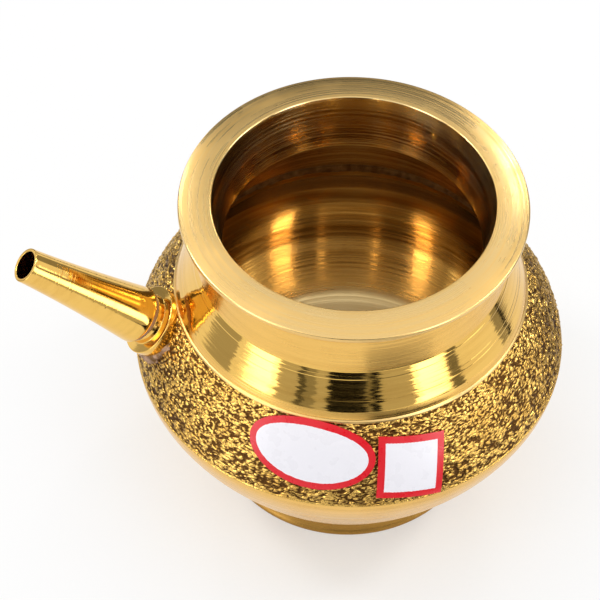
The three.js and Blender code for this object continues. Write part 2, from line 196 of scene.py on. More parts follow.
class LabelSizes(PropertyGroup):
    """The two paper labels laid on the band."""

    square_side: length(17.7, "Square side", "Side of the square label")
    square_turn: angle(-83.5, "Square place", "Where the square label sits round the pot")
    square_tilt: angle(8.5, "Square tilt", "How far the square label is turned")
    oval_length: length(33.9, "Oval length", "Length of the oval label")
    oval_height: length(18.9, "Oval height", "Height of the oval label")
    oval_turn: angle(-111.2, "Oval place", "Where the oval label sits round the pot")
    oval_tilt: angle(4.5, "Oval tilt", "How far the oval label is turned")
    oval_lift: length(4.3, "Oval lift", "How much higher the oval label sits")
    drop: length(14.0, "Drop", "Distance down the band from its top")
    border: length(1.85, "Border", "Width of the red border")
    stand_off: length(0.3, "Stand-off", "Height of a label's back over the band")
    thickness: length(0.3, "Thickness", "Thickness of a label")


class Finishes(PropertyGroup):
    """Colours of the pot's finishes."""

    mirror: colour((0.87, 0.54, 0.135), "Mirror brass", "Buffed brass of the shoulder and spout")
    rim: colour((0.82, 0.58, 0.25), "Rim brass", "Paler brushed brass of the rim")
    neck: colour((0.87, 0.53, 0.14), "Neck brass", "Brushed brass of the neck and the bowl")
    # The foot's colour is darkened as painted shade, for the shadowed floor under the belly that
    # the foot reflects.
    foot: colour((0.4, 0.22, 0.05), "Foot brass", "Shaded brushed brass of the foot")
    inner: colour((0.88, 0.67, 0.33), "Inner brass", "Turned brass inside the pot")
    dull: colour((0.68, 0.47, 0.19), "Dull brass", "Brass between the rings inside the pot")
    # A darker colour that the inside of the pot takes between two heights.
    inner_darkening: colour((0.27, 0.135, 0.03), "Darkening", "Brass inside that the polish didn't reach")
    deep: colour((0.64, 0.35, 0.07), "Deep brass", "Brass where the polish has gone over")
    patina: colour((0.1, 0.044, 0.011), "Patina", "Dark lacquer left in the bark's crevices")
    residue: colour((0.47, 0.3, 0.2), "Residue", "Dull flux and filler at the spout's seat")
    # The seam's colour is darkened braze, and darker still as painted shade for the shadowed gap
    # along the lip.
    seam: colour((0.2, 0.1, 0.03), "Seam", "Darkened braze along the lip inside")
    leather: colour((0.17, 0.07, 0.03), "Washer", "The sealing washer")
    red: colour((0.72, 0.004, 0.014), "Label red", "Printed border of the labels")
    white: colour((0.84, 0.83, 0.88), "Label white", "Bare face of the labels")


class StudioSizes(PropertyGroup):
    """The pale studio round the pot."""

    lamp_distance: length(560, "Lamp distance", "From the pot's axis to each soft box")
    room: amount(0.6, "Room light", "Strength of the room's even light on the pot")
    floor_glow: amount(0.88, "Floor glow", "How far the open floor shows plain white")
    floor_shade: amount(0.4, "Floor shade", "How far the floor under the pot shows plain white")


# The soft boxes: the name, the turn round the pot from and to, the rise from and to, all in
# degrees as seen from the pot, and the brightness.
SOFT_BOXES = (
    ("front_left_box", -164, -141, 0, 57, 1.7),
    ("front_right_box", -64, -41, 0, 57, 1.7),
    ("side_right_box", -29, -15, 0, 30, 1.5),
    ("back_right_box", -8, 10, 44, 52, 26.0),
    ("back_left_box", 144, 166, 44, 52, 26.0),
    ("back_strip_right", 51, 57, 32, 46, 12.0),
    ("back_strip_left", 107, 113, 32, 47, 7.0),
)

# The bright, grey and black cards that only reflections show: the name, the distance in
# millimetres, and then the same terms.
CARDS = (
    ("card_gold_left", 600, -140, -129, 0, 32, 0.55),
    ("card_streak", 600, -129, -125, 0, 22, 0.1),
    ("card_brown", 600, -125, -119, 0, 22, 0.3),
    ("card_gold_near", 600, -119, -112, 0, 32, 0.55),
    ("card_black", 600, -112, -91, 0, 36, 0.008),
    ("card_slit", 600, -91, -88, 0, 36, 0.25),
    ("card_black_edge", 600, -88, -83, 0, 36, 0.008),
    ("card_gold_right", 600, -83, -64, 0, 34, 0.55),
    ("card_glare_left", 540, -160, -144, 0, 50, 4.0),
    ("card_glare_right", 540, -61, -45, 0, 50, 4.0),
    ("card_low_front", 140, -92, -52, 0, 20, 0.02),
    ("card_side_right", 600, -41, -29, 0, 60, 0.38),
    ("card_side_streak", 300, -45, -38, 0, 14, 0.2),
    ("card_far_right", 220, -10, 24, 0, 30, 0.34),
    ("card_far_right_streak", 210, -4, -1, 0, 30, 0.03),
    ("card_far_left", 220, 156, 168, 0, 30, 0.5),
    ("card_near_left", 300, 172, 193, 0, 34, 0.45),
    ("card_back_right", 600, 14, 51, 0, 58, 0.3),
    ("card_back", 600, 62, 106, 0, 50, 0.13),
    ("card_back_left", 600, 116, 141, 0, 58, 0.3),
)


def cubic_at(curve, t):
    """The point and the direction at t on a cubic curve of four corners."""
    a, b, c, d = curve
    s = 1 - t
    point = a * s**3 + b * (3 * s * s * t) + c * (3 * s * t * t) + d * t**3
    along = (b - a) * (s * s) + (c - b) * (2 * s * t) + (d - c) * (t * t)
    return point, along.normalized()


def in_wall(curve, t, depth, rise=0.0):
    """A point of a curve, moved into the wall by depth and back up the curve by rise."""
    point, along = cubic_at(curve, t)
    return point + Vector((along.y, -along.x)) * depth - along * rise


def wall_line(curve, steps, start, end, depth, end_depth=None):
    """Points along a curve at a depth, which may change on the way."""
    last = depth if end_depth is None else end_depth
    points = []
    for i in range(steps + 1):
        part = i / steps
        points.append(in_wall(curve, start + (end - start) * part, depth + (last - depth) * part))
    return points


def rounded(corners, steps=5):
    """A section from (radius, height, rounding) corners, each rounding drawn as a small curve."""
    points = []
    count = len(corners)
    for i, (radius, height, ease) in enumerate(corners):
        corner = Vector((radius, height))
        if not ease:
            points.append(corner)
            continue
        before = Vector(corners[i - 1][:2])
        after = Vector(corners[(i + 1) % count][:2])
        start = corner + (before - corner).normalized() * ease
        end = corner + (after - corner).normalized() * ease
        handles = start.lerp(corner, ROUNDNESS), end.lerp(corner, ROUNDNESS)
        points += interpolate_bezier(start, *handles, end, steps)
    return points


def plain(points):
    """Points of a section as corners without rounding."""
    return [(point[0], point[1], 0) for point in points]


class Outline:
    """Heights, radii and curves that follow from the pot's sizes."""

    def __init__(self, pot):
        self.belly_z = pot.foot_height + pot.bowl_height
        self.shoulder_z = self.belly_z + pot.band_height
        self.border_z = self.shoulder_z + pot.border_height
        self.crease_z = self.shoulder_z + pot.shoulder_height
        self.rim_under_z = self.crease_z + pot.neck_height
        self.rim_edge_z = self.rim_under_z + pot.rim_edge
        self.rim_radius = pot.mouth_radius + pot.rim_width
        self.neck_radius = pot.mouth_radius + pot.neck_wall
        self.crease_radius = self.neck_radius + pot.neck_flare
        self.shoulder_radius = self.crease_radius + pot.shoulder_spread
        self.border_radius = self.shoulder_radius - pot.border_spread
        self.belly_radius = self.shoulder_radius + pot.band_spread
        self.bowl_foot_radius = self.belly_radius - pot.bowl_foot_inset
        self.foot_radius = self.bowl_foot_radius - FOOT_STEP
        self.foot_inner_radius = self.foot_radius - pot.foot_wall
        self.floor_z = pot.foot_height - pot.register_depth + pot.floor_wall
        self.band = (
            Vector((self.shoulder_radius, self.shoulder_z)),
            Vector((
                self.shoulder_radius + BAND_TOP[0] * pot.band_spread,
                self.shoulder_z - BAND_TOP[1] * pot.band_height,
            )),
            Vector((self.belly_radius, self.belly_z + BAND_LOW * pot.band_height)),
            Vector((self.belly_radius, self.belly_z)),
        )
        self.bowl = (
            Vector((self.belly_radius, self.belly_z)),
            Vector((self.belly_radius, self.belly_z - BOWL_TOP * pot.bowl_height)),
            Vector((
                self.bowl_foot_radius + BOWL_LOW[0] * pot.bowl_foot_inset,
                pot.foot_height + BOWL_LOW[1] * pot.bowl_height,
            )),
            Vector((self.bowl_foot_radius, pot.foot_height)),
        )
        self.lap_start = self.band_at(self.belly_z + pot.lap_height)

    def band_at(self, height):
        """Where the band's curve is at a height."""
        low, high = 0.0, 1.0
        for _ in range(40):
            middle = (low + high) / 2
            if cubic_at(self.band, middle)[0].y > height:
                low = middle
            else:
                high = middle
        return low


def spout_seat(outline, spout):
    """The matrix of the spout's seat on the band, whose own +Z runs out along the spout."""
    point = cubic_at(outline.band, outline.band_at(outline.shoulder_z - spout.seat_drop))[0]
    place = Matrix.Translation(POT_AXIS + Vector((-point.x, 0, point.y)))
    return place @ Matrix.Rotation(spout.tilt - math.pi / 2, 4, "Y")


def verts_of(parts):
    """The vertices among parts of a bmesh."""
    return [part for part in parts if isinstance(part, bmesh.types.BMVert)]


def wound(bm, parts, turn, steps, rise=0.0):
    """Spins parts of a bmesh about Z, each step higher by rise."""
    bmesh.ops.spin(
        bm, geom=parts, cent=(0, 0, 0), axis=(0, 0, 1), dvec=(0, 0, rise), angle=turn,
        steps=steps, use_merge=False, use_normal_flip=False, use_duplicate=False,
    )


def spun(section, sides, closed=True):
    """A bmesh of a section spun a full turn about Z, with its seam and poles closed.

    One sector is spun, and its copies fill the turn, which is far quicker than one long spin.
    """
    sector = math.tau / SECTORS
    bm = bmesh.new()
    corners = [bm.verts.new((point[0], 0, point[1])) for point in section]
    ends = corners[1:] + corners[:1] if closed else corners[1:]
    rails = [bm.edges.new(pair) for pair in zip(corners, ends)]
    wound(bm, corners + rails, sector, sides // SECTORS)
    first = bm.verts[:] + bm.edges[:] + bm.faces[:]
    for i in range(1, SECTORS):
        moved = verts_of(bmesh.ops.duplicate(bm, geom=first)["geom"])
        turn = Matrix.Rotation(sector * i, 3, "Z")
        bmesh.ops.rotate(bm, cent=(0, 0, 0), matrix=turn, verts=moved)
    bmesh.ops.remove_doubles(bm, verts=bm.verts, dist=1e-6)
    bmesh.ops.recalc_face_normals(bm, faces=bm.faces)
    return bm


def linked(name, bm):
    """A new object in the scene with the bmesh as its mesh."""
    mesh = bpy.data.meshes.new(name)
    bm.to_mesh(mesh)
    bm.free()
    piece = bpy.data.objects.new(name, mesh)
    bpy.context.scene.collection.objects.link(piece)
    return piece


def finished(name, bm, place, body, finishes, sharp=SHARP):
    """The bmesh as a smooth-shaded piece, put in its place, riding on its body.

    Finishes are the names of materials made before.
    """
    bmesh.ops.transform(bm, matrix=place, verts=bm.verts)
    for face in bm.faces:
        face.smooth = True
    for edge in bm.edges:
        edge.smooth = edge.calc_face_angle(0) < sharp
    piece = linked(name, bm)
    for finish in finishes:
        piece.data.materials.append(bpy.data.materials[finish])
    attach(piece, body)
    return piece


def drilled(piece, spout, seat):
    """Drills the hole for the collar's tail, and keeps the mesh without a modifier."""
    radius = spout.tail_radius + spout.gap
    start, end = -spout.tail_length - 3 * MM, spout.flange_radius
    bm = bmesh.new()
    bmesh.ops.create_cone(
        bm, cap_ends=True, cap_tris=False, segments=DRILL_SIDES, radius1=radius, radius2=radius,
        depth=end - start, matrix=seat @ Matrix.Translation((0, 0, (start + end) / 2)),
    )
    drill = linked("drill", bm)
    cut = piece.modifiers.new("Drill", "BOOLEAN")
    cut.operation = "DIFFERENCE"
    cut.solver = "MANIFOLD"
    cut.object = drill
    graph = bpy.context.evaluated_depsgraph_get()
    holed = bpy.data.meshes.new_from_object(piece.evaluated_get(graph))
    piece.modifiers.clear()
    whole, drill_mesh = piece.data, drill.data
    piece.data = holed
    bpy.data.meshes.remove(whole)
    holed.name = piece.name
    bpy.data.objects.remove(drill)
    bpy.data.meshes.remove(drill_mesh)


class Finish:
    """A material under construction: its node tree, with short ways to add and join nodes."""

    def __init__(self, name):
        self.material = bpy.data.materials.new(name)
        self.material.use_nodes = True
        self.tree = self.material.node_tree
        self.shader = self.tree.nodes["Principled BSDF"]

    def node(self, kind, inputs=None, **settings):
        """Adds a node; an input's value may be a number, a vector or another node's output."""
        node = self.tree.nodes.new(kind)
        for name, value in settings.items():
            setattr(node, name, value)
        for key, value in (inputs or {}).items():
            if isinstance(value, bpy.types.NodeSocket):
                self.tree.links.new(value, node.inputs[key])
            else:
                node.inputs[key].default_value = value
        return node

    def join(self, output, name):
        """Joins an output to an input of the shader."""
        self.tree.links.new(output, self.shader.inputs[name])

    def number(self, operation, first, second):
        """What an operation makes of two numbers."""
        return self.node("ShaderNodeMath", {0: first, 1: second}, operation=operation).outputs[0]

    def vector(self, operation, first, second=(0, 0, 0)):
        """What an operation makes of one or two vectors."""
        inputs = {0: first, 1: second}
        return self.node("ShaderNodeVectorMath", inputs, operation=operation).outputs["Vector"]

    def scaled(self, vector, size):
        """A vector times a number."""
        inputs = {0: vector, "Scale": size}
        return self.node("ShaderNodeVectorMath", inputs, operation="SCALE").outputs["Vector"]

    def spread(self, value, low, high, to_low, to_high):
        """A number eased from one span to another, and held inside it."""
        inputs = {
            "Value": value, "From Min": low, "From Max": high, "To Min": to_low, "To Max": to_high,
        }
        node = self.node("ShaderNodeMapRange", inputs, interpolation_type="SMOOTHSTEP")
        return node.outputs["Result"]

    def mixed(self, share, first, second):
        """A colour between two colours."""
        node = self.node("ShaderNodeMix", {"Factor": share}, data_type="RGBA")
        for socket, value in zip([s for s in node.inputs if s.type == "RGBA"], (first, second)):
            if isinstance(value, bpy.types.NodeSocket):
                self.tree.links.new(value, socket)
            else:
                socket.default_value = (*value, 1)
        return next(s for s in node.outputs if s.type == "RGBA")

    def shade(self, value, low, high, first, second):
        """Colours the shader from first to second as a value goes from low to high."""
        share = self.spread(value, low, high, 0.0, 1.0)
        self.join(self.mixed(share, first, second), "Base Color")

    def polish(self, value, low, high, first, second):
        """Roughens the shader from first to second as a value goes from low to high."""
        self.join(self.spread(value, low, high, first, second), "Roughness")

    def centred(self, place):
        """Object coordinates in the axes of a place, such as the spout's own."""
        inputs = {"Location": place.translation, "Rotation": place.to_euler()}
        mapping = self.node("ShaderNodeMapping", inputs, vector_type="TEXTURE")
        source = self.node("ShaderNodeTexCoord").outputs["Object"]
        self.tree.links.new(source, mapping.inputs["Vector"])
        return mapping.outputs["Vector"]

    def flat(self, coordinates):
        """The coordinates across the axis."""
        return self.vector("MULTIPLY", coordinates, (1, 1, 0))

    def reach(self, flat):
        """Distance from the axis."""
        return self.node("ShaderNodeVectorMath", {0: flat}, operation="LENGTH").outputs["Value"]

    def around(self, coordinates):
        """The direction round the axis, as long as the distance from it."""
        return self.vector("CROSS_PRODUCT", (0, 0, 1), self.flat(coordinates))

    def height(self, coordinates):
        """Height along the axis."""
        return self.node("ShaderNodeSeparateXYZ", {"Vector": coordinates}).outputs["Z"]

    def noise(self, coordinates, per_metre, detail=3.0):
        """Soft noise of a number of lumps per metre."""
        inputs = {"Vector": coordinates, "Scale": per_metre, "Detail": detail, "Roughness": 0.55}
        return self.node("ShaderNodeTexNoise", inputs).outputs["Fac"]

    def rings(self, coordinates, pitch, streak, detail=2.0):
        """Noise drawn out round the axis, as a lathe or a polishing wheel leaves it.

        Pitch is the rings' width, and a lower streak draws them out further.
        """
        flat = self.flat(coordinates)
        heading = self.scaled(self.vector("NORMALIZE", flat), streak)
        reach = self.number("DIVIDE", self.reach(flat), pitch)
        outward = self.node("ShaderNodeCombineXYZ", {"Z": reach}).outputs[0]
        inputs = {
            "Vector": self.vector("ADD", heading, outward),
            "W": self.number("DIVIDE", self.height(coordinates), pitch),
            "Scale": 1.0, "Detail": detail, "Roughness": 0.6,
        }
        return self.node("ShaderNodeTexNoise", inputs, noise_dimensions="4D").outputs["Fac"]

    def bumped(self, height, distance):
        """Gives the shader a bump as deep as distance, and returns the bump's normal."""
        inputs = {"Height": height, "Strength": 1.0, "Distance": distance}
        normal = self.node("ShaderNodeBump", inputs).outputs["Normal"]
        self.join(normal, "Normal")
        return normal

    def emission(self, brightness):
        """Plain white light."""
        inputs = {"Color": (1, 1, 1, 1), "Strength": brightness}
        return self.node("ShaderNodeEmission", inputs).outputs[0]

    def show(self, surface):
        """Makes a shader's output the material's surface."""
        self.tree.links.new(surface, self.tree.nodes["Material Output"].inputs["Surface"])


def turned_metal(
    name, tint, deep, place, roughness, groove, anisotropy=0.0, pitch=0.5 * MM, lines=0.0,
    inner_darkening=None, contrast=0.2, waver=0.0, grain=0.0,
):
    """Turned and buffed brass: fine rings, longer streaks of tone, a few cut lines and smudges.

    Pitch is the rings' width and groove their depth. Lines is the cut lines' depth against the
    rings', contrast how much the rings differ in polish, grain how much they differ in tone, and
    waver how far they turn a reflection. Inner darkening, where it is given, is a darker colour
    and the two heights between which the brass takes it.
    """
    finish = Finish(name)
    shader = finish.shader
    centred = finish.centred(place)
    fine = finish.rings(centred, pitch, 0.7)
    tone = finish.rings(centred, pitch * 4, 0.9, detail=3.0)
    smudge = finish.noise(centred, 55, detail=4.0)
    worn = finish.number(
        "ADD", finish.number("MULTIPLY", tone, 0.65), finish.number("MULTIPLY", smudge, 0.35)
    )
    brass = finish.mixed(finish.spread(worn, 0.42, 0.72, 0.0, 0.5), tint, deep)
    if grain:
        brass = finish.mixed(finish.spread(fine, 0.38, 0.62, 0.0, grain), brass, deep)
    polish = finish.spread(
        fine, 0.4, 0.6, roughness * (1 - contrast), roughness * (1 + contrast)
    )
    haze = finish.spread(smudge, 0.45, 0.75, 0.0, roughness * 0.5)
    # Between two heights the brass turns darker, patchy with the tone rings.
    if inner_darkening:
        dull, low, high = inner_darkening
        height = finish.height(centred)
        above = finish.spread(height, low, low + 2.5 * MM, 0.0, 1.0)
        below = finish.spread(height, high - 0.6 * MM, high, 1.0, 0.0)
        patchy = finish.spread(tone, 0.3, 0.7, 0.75, 1.0)
        between = finish.number("MULTIPLY", above, below)
        brass = finish.mixed(finish.number("MULTIPLY", between, patchy), brass, dull)
        floor_haze = finish.spread(height, low - 16 * MM, low - 5 * MM, 0.22, 0.0)
        haze = finish.number("ADD", haze, floor_haze)
    finish.join(brass, "Base Color")
    shader.inputs["Metallic"].default_value = 1.0
    finish.join(finish.number("ADD", polish, haze), "Roughness")
    relief = fine
    if lines:
        sparse = finish.rings(centred, pitch * 1.7, 0.3, detail=0.0)
        relief = finish.number("ADD", fine, finish.spread(sparse, 0.61, 0.7, 0.0, lines))
    normal = finish.bumped(relief, groove)
    if waver:
        shift = finish.number("SUBTRACT", finish.rings(centred, pitch, 3.0), 0.5)
        around = finish.vector("NORMALIZE", finish.around(centred))
        sway = finish.scaled(around, finish.number("MULTIPLY", shift, waver))
        finish.join(finish.vector("NORMALIZE", finish.vector("ADD", normal, sway)), "Normal")
    if anisotropy:
        shader.inputs["Anisotropic"].default_value = anisotropy
        face = finish.node("ShaderNodeNewGeometry").outputs["Normal"]
        finish.join(finish.vector("CROSS_PRODUCT", face, finish.around(centred)), "Tangent")
    return finish.material


def bark_metal(finishes):
    """Cast bark: bright buffed tops, brown lacquer in the crevices and a fine cast grain."""
    finish = Finish("bark_brass")
    relief = finish.node("ShaderNodeAttribute", attribute_name="relief").outputs["Fac"]
    centred = finish.centred(POT_PLACE)
    grain = finish.rings(centred, 0.42 * MM, 70.0)
    blotch = finish.noise(centred, 130, detail=3.0)
    speck = finish.number("MULTIPLY", finish.number("SUBTRACT", grain, 0.5), 0.5)
    level = finish.number("ADD", relief, speck)
    worn = finish.spread(blotch, 0.35, 0.7, 0.0, 0.7)
    buffed = finish.mixed(worn, finishes.mirror, finishes.deep)
    finish.shade(level, 0.3, 0.56, finishes.patina, buffed)
    finish.polish(level, 0.25, 0.8, 0.42, 0.13)
    finish.shader.inputs["Metallic"].default_value = 1.0
    finish.bumped(grain, 0.25 * MM)
    return finish.material


def braze_metal(name, tint, dark, roughness):
    """Braze as the torch left it: mottled with flux, grainy and dull."""
    finish = Finish(name)
    centred = finish.centred(POT_PLACE)
    mottle = finish.noise(centred, 420, detail=5.0)
    grain = finish.noise(centred, 2600, detail=2.0)
    finish.shade(mottle, 0.38, 0.66, tint, dark)
    finish.polish(mottle, 0.3, 0.7, roughness * 1.2, roughness * 0.7)
    finish.shader.inputs["Metallic"].default_value = 0.85
    finish.bumped(grain, 0.2 * MM)
    return finish.material


def leather(finishes, place):
    """The washer's cut leather edge, with its fibres lying round it."""
    finish = Finish("washer_leather")
    centred = finish.centred(place)
    fibre = finish.rings(centred, 0.2 * MM, 9.0, detail=3.0)
    pore = finish.noise(centred, 3000, detail=2.0)
    dark = [part * 0.45 for part in finishes.leather]
    finish.shade(fibre, 0.35, 0.7, finishes.leather, dark)
    finish.polish(pore, 0.3, 0.7, 0.55, 0.85)
    finish.bumped(fibre, 0.1 * MM)
    return finish.material


def sticker(name, tint, roughness):
    """Glossy printed paper, faintly uneven where it is pressed on to the bark."""
    finish = Finish(name)
    centred = finish.centred(POT_PLACE)
    fibre = finish.noise(centred, 2200, detail=4.0)
    press = finish.noise(centred, 260, detail=2.0)
    shade = [part * 0.98 for part in tint]
    finish.shade(fibre, 0.35, 0.75, tint, shade)
    finish.polish(press, 0.3, 0.7, roughness * 0.8, roughness * 1.25)
    finish.bumped(press, 0.04 * MM)
    return finish.material


def paint(bm, is_part, index):
    """Gives the faces whose centre is in a part the material of that index."""
    for face in bm.faces:
        if is_part(face.calc_center_median()):
            face.material_index = index


def rim_brass(finishes):
    """The rim's pale brass, brushed round."""
    return turned_metal(
        "rim_brass", finishes.rim, finishes.neck, POT_PLACE, roughness=0.3, groove=0.02 * MM,
        anisotropy=0.3, pitch=0.4 * MM, grain=0.45,
    )


def neck_brass(finishes):
    """The neck's and bowl's brass, brushed round more finely."""
    return turned_metal(
        "neck_brass", finishes.neck, finishes.deep, POT_PLACE, roughness=0.22,
        groove=0.02 * MM, anisotropy=0.6,
    )


def foot_shaded_brass(finishes):
    """The foot's brushed brass, its colour darkened as painted shade for the shadowed floor it
    reflects.
    """
    return turned_metal(
        "foot_shaded_brass", finishes.foot, finishes.deep, POT_PLACE, roughness=0.25,
        groove=0.03 * MM, anisotropy=0.6,
    )


def mirror_brass(finishes, name, place, lines=0.6, waver=0.0):
    """Mirror-buffed brass with a few turning lines left in it."""
    return turned_metal(
        name, finishes.mirror, finishes.deep, place, roughness=0.075, groove=0.012 * MM,
        lines=lines, waver=waver,
    )


def inner_brass(finishes):
    """The inside, left with the rings of the lathe."""
    return turned_metal(
        "inner_brass", finishes.inner, finishes.dull, POT_PLACE, roughness=0.13,
        groove=0.012 * MM, anisotropy=0.85, lines=0.3, contrast=0.4, grain=0.3,
        # The inside turns darker between 28.5 and 83 mm.
        inner_darkening=(finishes.inner_darkening, 28.5 * MM, 83 * MM),
    )


class KARWA_OT_finishes(Operator):
    """Make the finishes that several pieces share"""

    bl_idname = "karwa.finishes"
    bl_label = "Finishes"

    def execute(self, context):
        finishes = context.scene.karwa_finishes
        seat = spout_seat(Outline(context.scene.karwa_pot), context.scene.karwa_spout)
        rim_brass(finishes)
        neck_brass(finishes)
        foot_shaded_brass(finishes)
        inner_brass(finishes)
        mirror_brass(finishes, "shoulder_brass", POT_PLACE, lines=3.0, waver=0.12)
        mirror_brass(finishes, "spout_brass", seat)
        bark_metal(finishes)
        # The seam filler is dark braze, partly painted shade for the shadowed gap above the lip.
        braze_metal("seam_filler_and_shade", finishes.seam, finishes.patina, 0.4)
        braze_metal("seat_residue", finishes.residue, finishes.seam, 0.5)
        leather(finishes, seat)
        sticker("label_white", finishes.white, 0.3)
        sticker("label_red", finishes.red, 0.3)
        return {"FINISHED"}


def pot_of(context):
    """The pot's sizes and the outline that follows from them."""
    pot = context.scene.karwa_pot
    return pot, Outline(pot)


def spout_of(context):
    """The spout's sizes and its seat on the band."""
    spout = context.scene.karwa_spout
    return spout, spout_seat(Outline(context.scene.karwa_pot), spout)


class KARWA_OT_upper_shell(Operator):
    """Make the rim, neck and shoulder, with the wall that backs the textured band"""

    bl_idname = "karwa.upper_shell"
    bl_label = "Upper Shell"

    def execute(self, context):
        pot, line = pot_of(context)
        bark = context.scene.karwa_bark
        cone = math.atan2(pot.shoulder_height, pot.shoulder_spread)
        inset = Vector((pot.shell_wall * math.sin(cone), pot.shell_wall * math.cos(cone)))
        land_radius = pot.mouth_radius - pot.land_taper
        land_z = line.crease_z + pot.land_rise
        cone_z = land_z - pot.land_edge
        cone_rise = cone_z - line.crease_z + inset.y
        cone_radius = line.crease_radius - inset.x - cone_rise / math.tan(cone)
        bead = [
            (line.shoulder_radius + out * MM, line.shoulder_z + up * MM, ease * MM)
            for out, up, ease in SHOULDER_BEAD
        ]
        outside = plain(wall_line(line.band, 40, 1, 0.03, bark.backing)) + bead + [
            (line.border_radius, line.border_z, 1.2 * MM),
            (line.crease_radius, line.crease_z, 0.4 * MM),
            (line.neck_radius, line.crease_z + pot.neck_height / 2, 3 * MM),
            (line.neck_radius, line.rim_under_z, pot.rim_fillet),
            (line.rim_radius, line.rim_under_z, 0.45 * MM),
            (line.rim_radius, line.rim_edge_z, 0.4 * MM),
        ]
        inside = [
            (pot.mouth_radius, line.rim_edge_z + pot.rim_fall, 0.35 * MM),
            (land_radius, land_z, 0.15 * MM),
            (max(cone_radius, land_radius), cone_z, 0.15 * MM),
            (line.shoulder_radius - inset.x, line.shoulder_z - inset.y, 2 * MM),
        ] + plain(wall_line(line.band, 30, 0.15, 1, pot.shell_wall))
        bm = spun(rounded(outside + inside), POT_SIDES)

        def inner(centre):
            radius = math.hypot(centre.x, centre.y)
            if centre.z > line.crease_z:
                return radius < pot.mouth_radius + 0.1 * MM
            cone_line = line.crease_radius + (line.crease_z - centre.z) / math.tan(cone)
            return radius < cone_line - pot.shell_wall / 2

        def outer(low, high):
            return lambda centre: low < centre.z < high and not inner(centre)

        rim_start = line.rim_under_z - pot.rim_fillet
        cone_start = line.border_z + 0.7 * MM
        bead_start, bead_end = line.shoulder_z - MM, line.shoulder_z + 0.48 * MM
        brasses = ("rim_brass", "inner_brass", "shoulder_brass", "neck_brass")
        paint(bm, lambda centre: centre.z < rim_start, brasses.index("neck_brass"))
        paint(bm, inner, brasses.index("inner_brass"))
        paint(bm, outer(cone_start, line.crease_z), brasses.index("shoulder_brass"))
        paint(bm, outer(bead_start, bead_end), brasses.index("rim_brass"))
        piece = finished("upper_shell_turned", bm, POT_PLACE, "root", brasses)
        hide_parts("upper_shell")
        drilled(piece, *spout_of(context))
        return {"FINISHED"}


def bark_height(turn, down, bark, radius):
    """The bark's height from 0 in a crevice to 1 on a nugget, at a turn and a way down."""
    reach = radius / bark.nugget_length
    place = Vector((reach * math.cos(turn), reach * math.sin(turn), down / bark.nugget))
    place += noise.noise_vector(place * 0.45) * 0.9
    near, next_near = noise.voronoi(place)[0][:2]
    crevice = min(1.0, (next_near - near) * 2.4)
    lumps = noise.fractal(place * 1.9 + Vector((7, 3, 1)), 0.8, 2.1, 3)
    tilt = noise.noise(place * 0.6 + Vector((2, 9, 4)))
    height = BARK_BASE + BARK_CREVICE * crevice + BARK_LUMPS * lumps + BARK_TILT * tilt
    return max(0.0, min(1.0, height))


class KARWA_OT_bark_band(Operator):
    """Make the band's cast bark texture as a displaced skin on the upper shell"""

    bl_idname = "karwa.bark_band"
    bl_label = "Bark Band"

    def execute(self, context):
        bark = context.scene.karwa_bark
        line = Outline(context.scene.karwa_pot)
        front = wall_line(line.band, bark.rows, 1, 0, 0)
        back = wall_line(line.band, 6, 0.02, 0.98, bark.backing + 0.2 * MM)
        rows = {
            round(point.y, 7): cubic_at(line.band, 1 - i / bark.rows)
            for i, point in enumerate(front)
        }
        skin = 0.3 * MM
        bm = spun(front + back, bark.columns)
        relief = bm.verts.layers.float.new("relief")
        noise.seed_set(BARK_SEED)
        for vert in bm.verts:
            x, y, z = vert.co
            row = rows.get(round(z, 7))
            radius = math.hypot(x, y)
            if row is None or abs(radius - row[0].x) > skin:
                continue
            along = row[1]
            down = (line.shoulder_z - z) * DOWN_BY_HEIGHT
            down += (radius - line.shoulder_radius) * DOWN_BY_RADIUS
            height = bark_height(math.atan2(y, x), down, bark, line.belly_radius)
            to_edge = min(z - line.belly_z, line.shoulder_z - z)
            fade = max(0.0, min(1.0, to_edge / bark.border))
            vert[relief] = 1 - fade * (1 - height)
            push = bark.depth * (height - BARK_LEVEL) * fade
            vert.co += Vector((-along.y * x / radius, -along.y * y / radius, along.x)) * push
        bm.normal_update()
        piece = finished(
            "bark_band", bm, POT_PLACE, "root", ("bark_brass",), sharp=math.pi
        )
        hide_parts("upper_shell")
        return {"FINISHED"}


